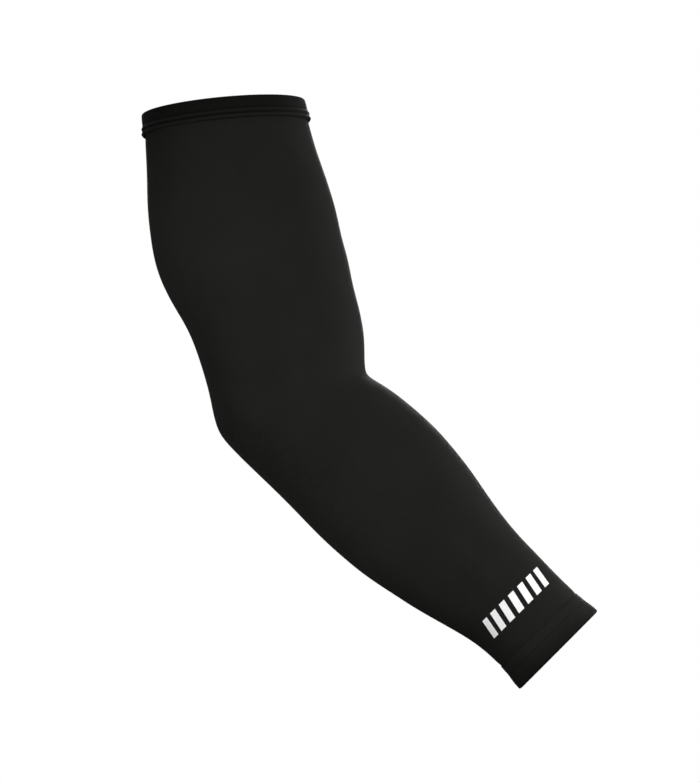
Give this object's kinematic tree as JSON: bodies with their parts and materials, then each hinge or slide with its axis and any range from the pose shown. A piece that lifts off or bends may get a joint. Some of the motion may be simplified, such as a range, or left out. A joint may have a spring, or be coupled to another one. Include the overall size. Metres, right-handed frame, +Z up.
{
  "type": "arm sleeve",
  "caption": "Long stretch-knit arm sleeve in the bent form that it has when worn, with a folded band at the upper arm and a turned hem at the wrist.",
  "frame": {"origin": "on the sleeve's axis, in the middle of the elbow, where the arm holds it", "axes": "+Z up along the height of the worn sleeve, with the upper arm rising and leaning toward -X; +X toward the hand, along which the forearm leads down; -Y is the front that the picture shows, and +-Y is the narrow way through the sleeve"},
  "size_m": [0.2831, 0.094, 0.3668],
  "materials": {
    "knit": "matt black stretch knit with a faint sheen",
    "band_knit": "matt black elastic band, two stitched ridges",
    "hem_knit": "matt black stretch knit, turned and stitched twice",
    "thread": "matt black sewing thread",
    "print": "thin white transfer film"
  },
  "bodies": {
    "root": {"sleeve_tube": "knit", "biceps_band": "band_knit", "wrist_hem": "hem_knit"}
  },
  "joints": []
}
